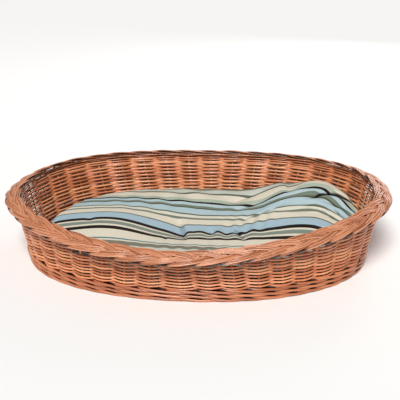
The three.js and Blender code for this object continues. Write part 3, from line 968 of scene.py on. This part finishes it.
def cushion_mesh(inset):
    """Points and faces of the cushion's body, ring by ring from its floor to its top."""
    angles = np.linspace(0, 2 * np.pi, PAD_STEPS, endpoint=False)
    shares = np.sin(np.linspace(0, np.pi / 2, PAD_RINGS + 1))
    levels = [(s, -1) for s in shares[1:]] + [(s, 1) for s in shares[-2:0:-1]]
    n, middle = PAD_STEPS, np.zeros(1)
    points = [cushion_shape(middle, middle, -np.ones(1), inset)]
    for share, side in levels:
        points.append(cushion_shape(np.full(n, share), angles, np.full(n, side), inset))
    points.append(cushion_shape(middle, middle, np.ones(1), inset))
    faces = []
    top, last = 1 + (len(levels) - 1) * n, 1 + len(levels) * n
    for i in range(n):
        k = (i + 1) % n
        faces.append((0, 1 + k, 1 + i))
        faces.append((last, top + i, top + k))
        for level in range(len(levels) - 1):
            low, high = 1 + level * n, 1 + (level + 1) * n
            faces.append((low + i, low + k, high + k, high + i))
    return np.vstack(points) * MM, faces


def cotton():
    """Woven striped cotton. The stripes run along the cushion's length, and its underside is a plain dark
    lining, which at the front reaches higher up the side as painted shade. The creases of folds get painted
    shade.
    """
    f = Finish("striped_cotton", 0.9, Sheen_Weight=0.06, Sheen_Roughness=0.5, Specular_IOR_Level=0.12)
    cloth = f.attribute("cloth").outputs["Vector"]
    axes = f.node("SeparateXYZ", cloth)
    across = f.varied(axes.outputs["Y"], f.noise(cloth, 60, 1), 0.0012)
    total = sum(width for width, _ in STRIPES) * STRIPE_SCALE * MM
    share = f.math("WRAP", f.math("DIVIDE", f.math("SUBTRACT", across, STRIPE_START * MM), total), 1.0, 0.0)
    stops, start = [], 0
    for width, colour in STRIPES:
        stops.append((start * STRIPE_SCALE * MM / total, linear(*colour)))
        start += width
    stripes = f.ramp(share, stops, "CONSTANT")
    warp = f.noise(f.scaled(cloth, WARP_SCALE), detail=1)
    weft = f.noise(f.scaled(cloth, WEFT_SCALE), detail=1)
    yarn = f.sum_of(warp, 0.6, weft, 0.4)
    shade = f.ramp(yarn, [(0.3, (0.86, 0.86, 0.86, 1)), (0.7, (1.12, 1.12, 1.12, 1))])
    under = f.attribute("under").outputs["Fac"]
    # The dark lining, raised at the front as painted shade.
    lined = f.mix(f.ramp(under, [(0.45, (0, 0, 0, 1)), (0.55, WHITE)]), stripes, LINING_AND_SHADE_COLOUR)
    # Painted shade in the creases of folds.
    shadow = f.ramp(f.attribute("crease_shade").outputs["Fac"], [(0.1, WHITE), (0.8, CREASE_SHADE_COLOUR)])
    folded = f.mix(1.0, lined, shadow, "MULTIPLY")
    f.colour(f.mix(1.0, folded, shade, "MULTIPLY"))
    f.bump(yarn, 0.25, 0.0005)
    return f.material


def copy_of_result(piece):
    """A copy of the piece's mesh with its modifiers applied."""
    graph = bpy.context.evaluated_depsgraph_get()
    return bpy.data.meshes.new_from_object(
        piece.evaluated_get(graph), preserve_all_data_layers=True, depsgraph=graph)


def apply_modifiers(piece):
    data = copy_of_result(piece)
    piece.modifiers.clear()
    piece.data = data
    data.polygons.foreach_set("use_smooth", [True] * len(data.polygons))


def vectors(data, name):
    """A vector of each vertex of a mesh, such as its place, co, or its normal."""
    values = np.empty(len(data.vertices) * 3, np.float32)
    data.vertices.foreach_get(name, values)
    return values.reshape(-1, 3)


def coordinates(data):
    return vectors(data, "co").astype(float)


def move(data, points):
    data.vertices.foreach_set("co", points.astype(np.float32).ravel())
    data.update()


def remesh(piece, size):
    modifier = piece.modifiers.new("even_mesh", "REMESH")
    modifier.mode, modifier.voxel_size = "VOXEL", size * MM
    apply_modifiers(piece)


def puff(piece, cap):
    """Lets a piece swell and wrinkle as cloth under pressure. No point moves further than the cap."""
    rest = coordinates(piece.data)
    cloth = piece.modifiers.new("cloth", "CLOTH")
    set_all(cloth.settings, CLOTH_SETTINGS)
    cloth.settings.effector_weights.gravity = 0
    cloth.collision_settings.use_collision = False
    for step in range(1, CLOTH_FRAMES + 1):
        scene.frame_set(step)
    result = copy_of_result(piece)
    moved = coordinates(result) - rest
    bpy.data.meshes.remove(result)
    piece.modifiers.clear()
    scene.frame_set(1)
    length = np.linalg.norm(moved, axis=1, keepdims=True)
    limit = np.tanh(length / (cap * MM)) * cap * MM
    move(piece.data, rest + moved / np.maximum(length, 1e-9) * limit)


def inside_wall(points):
    """Moves points inwards where they would pass the inner side of the woven wall."""
    angles = np.linspace(-np.pi, np.pi, WALL_BEARINGS + 1)
    reach = []
    for level in WALL_LEVELS:
        wall = wall_point(angles, level, WALL_INNER_DEPTH)
        bearing = np.unwrap(np.arctan2(wall[:, 1], wall[:, 0]))
        reach.append(np.interp(angles, bearing, np.hypot(wall[:, 0], wall[:, 1])))
    reach = np.array(reach)
    share = np.clip(points[:, 2] / WALL_LEVELS[1], 0, len(WALL_LEVELS) - 1.001)
    low, part = np.floor(share).astype(int), share - np.floor(share)
    column = (np.arctan2(points[:, 1], points[:, 0]) + np.pi) / (2 * np.pi) * WALL_BEARINGS
    left, across = np.floor(column).astype(int).clip(0, WALL_BEARINGS - 1), column - np.floor(column)

    def at(row):
        return reach[row, left] * (1 - across) + reach[row, left + 1] * across

    limit = at(low) * (1 - part) + at(low + 1) * part
    radius = np.hypot(points[:, 0], points[:, 1])
    factor = np.minimum(1, limit / radius)
    return points * np.column_stack([factor, factor, np.ones(len(points))])


def zip_floor(x, y):
    """Height of the cover's floor, which rises to a trough over the zip."""
    zip_low, zip_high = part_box("zip_tape")
    near_zip = np.clip(1.6 - np.abs(y - ZIP_Y) / ZIP_TROUGH_HALF_WIDTH * 1.2, 0, 1)
    near_zip *= np.clip((zip_high[0] / MM + ZIP_TROUGH_MARGIN - np.abs(x)) / 12, 0, 1)
    return PAD_FLOOR + near_zip * (zip_high[2] / MM + ZIP_TROUGH_ROOM - PAD_FLOOR)


def make_cushion():
    """The stuffed cover: puffed, kept inside the wall, folded and bunched."""
    points, faces = cushion_mesh(PAD_INSET)
    piece = add_mesh("striped_cushion_cover", points, faces, cotton(), "cushion",
                     ["cushion_cover"])
    remesh(piece, PAD_VOXEL)
    puff(piece, PAD_CAP)
    smoother = piece.modifiers.new("finer", "SUBSURF")
    smoother.levels = smoother.render_levels = 1
    apply_modifiers(piece)
    data = piece.data
    points = inside_wall(coordinates(data) / MM)
    upward = vectors(data, "normal")[:, 2]
    x, y = points[:, 0], points[:, 1]
    top = np.clip(upward * 2, 0, 1) * (points[:, 2] > PAD_FLOOR + 20)
    # The dark lining covers the steep sides below the seam, and at the front it rises higher as painted
    # shade.
    seam = edge_height(x, y) + SHADE_RISE_FRONT * frontness(np.arctan2(y, x))
    below_seam, steep = np.clip((seam - points[:, 2]) / 3 + 0.5, 0, 1), np.clip((0.75 - upward) / 0.3, 0, 1)
    bend = PAD_BEND * np.maximum(0, x - PAD_BEND_FROM) ** 2
    cloth = np.column_stack([x, y + bend, points[:, 2]]) * MM
    depth, crease_shade = folds(x, y)
    points[:, 2] += top * (ruffle(x, y) - depth)
    points[:, 2] = np.maximum(points[:, 2], zip_floor(x, y))
    move(data, points * MM)
    # The under mask is the dark lining, which at the front is painted shade.
    add_attribute(data, "under", np.minimum(below_seam, steep))
    # Painted shade in creases, only on the flatter top.
    add_attribute(data, "crease_shade", top * np.clip((upward - CREASE_SHADE_STEEPEST) / 0.3, 0, 1) * crease_shade)
    add_attribute(data, "cloth", cloth)
    return piece


def two_toned(name, roughness, texture, dark, light, bump, **shader):
    """A finish that goes from dark to light with a texture, which also raises its surface."""
    f = Finish(name, roughness, **shader)
    height = texture(f, f.node("TexCoord").outputs["Object"])
    f.colour(f.ramp(height, [(place, linear(*rgb)) for place, rgb in (dark, light)]))
    f.bump(height, *bump)
    return f.material


def fibre():
    return two_toned(
        "fibre_filling", 0.95, lambda f, place: f.noise(place, 90, 4, 0.7),
        (0.3, (226, 222, 212)), (0.7, (250, 248, 242)), (0.7, 0.004), Sheen_Weight=0.2)


def make_filling(cover):
    """Wadding that fills the cover, a little way inside it."""
    data = cover.data.copy()
    filling = add_object("cushion_wadding", data)
    move(data, coordinates(data) - vectors(data, "normal") * FILLING_GAP * MM)
    data.materials.clear()
    remesh(filling, FILLING_VOXEL)
    filling.data.materials.clear()
    filling.data.materials.append(fibre())
    assign(filling, "cushion", ["cushion_filling"])


def prism(outline, low, high, hole=None):
    """Points and faces of an upright prism. A hole has as many corners as the outline."""
    rings = [outline] if hole is None else [outline, hole]
    points = [(x, y, z) for ring in rings for z in (low, high) for x, y in ring]
    n = len(outline)
    around = [(i, (i + 1) % n) for i in range(n)]
    faces = [(a, b, n + b, n + a) for a, b in around]
    if hole is None:
        faces += [tuple(range(n))[::-1], tuple(range(n, 2 * n))]
    else:
        faces += [(2 * n + b, 2 * n + a, 3 * n + a, 3 * n + b) for a, b in around]
        faces += [(b, a, 2 * n + a, 2 * n + b) for a, b in around]
        faces += [(n + a, n + b, 3 * n + b, 3 * n + a) for a, b in around]
    return points, faces


def rounded_box(x, y, length, width, corner, steps=5):
    """Corners of a rounded rectangle round (x, y)."""
    turns = [k * np.pi / 2 + t for k in range(4) for t in np.linspace(0, np.pi / 2, steps)]
    half = np.array([length / 2 - corner, width / 2 - corner])
    sign = [(1, 1), (-1, 1), (-1, -1), (1, -1)]
    return [tuple(np.array([x, y]) + half * sign[i // steps] + corner * np.array([np.cos(t), np.sin(t)]))
            for i, t in enumerate(turns)]


def plate(low, high, *box):
    """A rounded rectangle from one height to another."""
    return prism(rounded_box(*box), low, high)


def add_parts(name, parts, material, body, replaced, soft_edges=0.0):
    """One hard piece from parts, each of which is points and faces."""
    points, faces = [], []
    for more, sides in parts:
        faces += [tuple(i + len(points) for i in side) for side in sides]
        points += [tuple(p) for p in more]
    piece = add_mesh(name, np.array(points, float) * MM, faces, material, body, replaced, smooth=False)
    if soft_edges:
        modifier = piece.modifiers.new("soft_edges", "BEVEL")
        modifier.width, modifier.segments, modifier.limit_method = soft_edges * MM, 2, "ANGLE"


def brass():
    return two_toned(
        "zip_brass", 0.34, lambda f, place: f.noise(place, 900, 3, 0.6),
        (0.35, (150, 118, 70)), (0.7, (206, 174, 112)), (0.15, 0.0002), Metallic=1.0)


def ribs(f, place):
    return f.node("TexWave", place, 420, wave_type="BANDS", bands_direction="DIAGONAL").outputs["Fac"]


def twill():
    return two_toned(
        "zip_tape_twill", 0.85, ribs,
        (0.2, (104, 98, 82)), (0.8, (146, 138, 118)), (0.4, 0.0003), Specular_IOR_Level=0.2)


# Zip: gap between the tapes, teeth, and the stops at both ends.
ZIP_GAP = 0.7
TOOTH_PITCH, TOOTH_ASIDE = 2.4, 0.55
TOOTH_LENGTH, TOOTH_WIDTH = 0.95, 2.1
TOOTH_DEPTH = 0.6
STOP_LENGTH, STOP_WIDTH = 2.2, 4.2
CORD_ASIDE, CORD_WIDTH = 1.5, 0.8


def box_in_mm(node):
    return (np.array(corner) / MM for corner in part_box(node))


def make_zip():
    """Two tapes with cords under their inner edges, and teeth between two stops."""
    (left, front, low), (right, rear, high) = box_in_mm("zip_tape")
    middle, width = (front + rear) / 2, (rear - front) / 2 - ZIP_GAP / 2
    length = right - left
    tapes = []
    for side in (-1, 1):
        tape_y, cord_y = middle + side * (ZIP_GAP + width) / 2, middle + side * CORD_ASIDE
        tapes.append(plate(low, high, 0, tape_y, length, width, 0.6))
        tapes.append(plate(low - 0.25, low + 0.1, 0, cord_y, length, CORD_WIDTH, 0.3))
    add_parts("zip_tapes", tapes, twill(), "cushion", ["zip_tape"], soft_edges=0.12)
    teeth = []
    for number, x in enumerate(np.arange(left + 4, right - 4, TOOTH_PITCH / 2)):
        tooth_y = middle + (TOOTH_ASIDE if number % 2 else -TOOTH_ASIDE)
        teeth.append(plate(low - TOOTH_DEPTH, low + 0.3, x, tooth_y, TOOTH_LENGTH, TOOTH_WIDTH, 0.25, 2))
    for x in (left + 2, right - 2):
        teeth.append(plate(low - TOOTH_DEPTH, low + 0.3, x, middle, STOP_LENGTH, STOP_WIDTH, 0.5, 3))
    add_parts("zip_teeth", teeth, brass(), "cushion", ["zip_tape"])


def make_slider():
    """The slider: a shield with two flanges, a bridge on two posts, and a pull with an eye."""
    (left, front, low), (right, rear, high) = box_in_mm("zip_slider")
    middle, wide, nose = (front + rear) / 2, (rear - front) / 2 - 0.2, right - 13
    edge = [(nose, 2.4), (nose + 3, 3.2), (right - 4, wide), (right - 1.2, 3.6), (right - 0.3, 2.4)]
    shield = [(x, middle - y) for x, y in edge[::-1]] + [(x, middle + y) for x, y in edge]
    parts = [prism(shield, high - 1.5, high - 0.1)]
    for side in (-1, 1):
        flange_y = middle + side * (wide - 0.9)
        parts.append(plate(high - 2.1, high - 0.6, nose + 6.4, flange_y, 8, 1.1, 0.4, 3))
    for x in (nose + 2.2, right - 2.6):
        parts.append(plate(low + 0.5, high - 1, x, middle, 1.5, 2, 0.4, 3))
    parts.append(plate(low + 0.1, low + 0.9, (nose + right - 0.4) / 2, middle, 9.7, 2, 0.8))
    grip, ring = left + 7.5, nose + 3.6
    pull = rounded_box((left + ring) / 2 + 0.1, middle, ring - left + 3, 5.4, 2.4)
    eye = rounded_box((ring + grip) / 2 + 4, middle, ring - grip - 5, 2.6, 1.2)
    parts.append(prism(pull, low + 1.15, low + 1.95, eye))
    name = "zip_slider_and_pull"
    add_parts(name, parts, brass(), "zip_slider", ["zip_slider"], soft_edges=0.18)


cushion = make_cushion()
make_filling(cushion)
make_zip()
make_slider()
